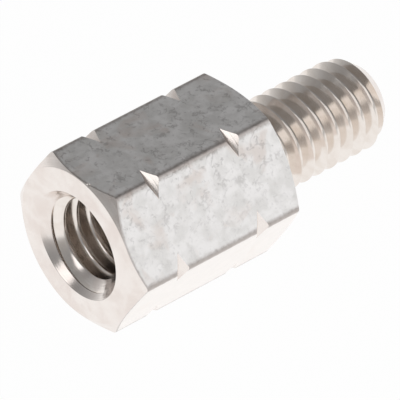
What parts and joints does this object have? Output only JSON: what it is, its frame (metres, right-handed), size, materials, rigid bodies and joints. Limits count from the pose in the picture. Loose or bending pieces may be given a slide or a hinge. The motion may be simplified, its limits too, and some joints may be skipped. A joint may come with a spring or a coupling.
{
  "type": "d-sub screw lock",
  "caption": "Hex screw lock for a connector: a countersunk threaded hole, a threaded stud at the opposite end, and corners notched by turned grooves.",
  "frame": {"origin": "where the thread axis meets the shoulder, the face that seats against a panel or bracket", "axes": "+X along the stud and out of its end, +Z square to one hex flat; the part lies on the flat opposite"},
  "size_m": [0.0112, 0.0058, 0.005],
  "materials": {
    "plated_steel": "clear zinc plated: bright where turned or threaded, duller and mottled on the drawn flats"
  },
  "bodies": {
    "root": {"screw_lock": "plated_steel"}
  },
  "joints": []
}
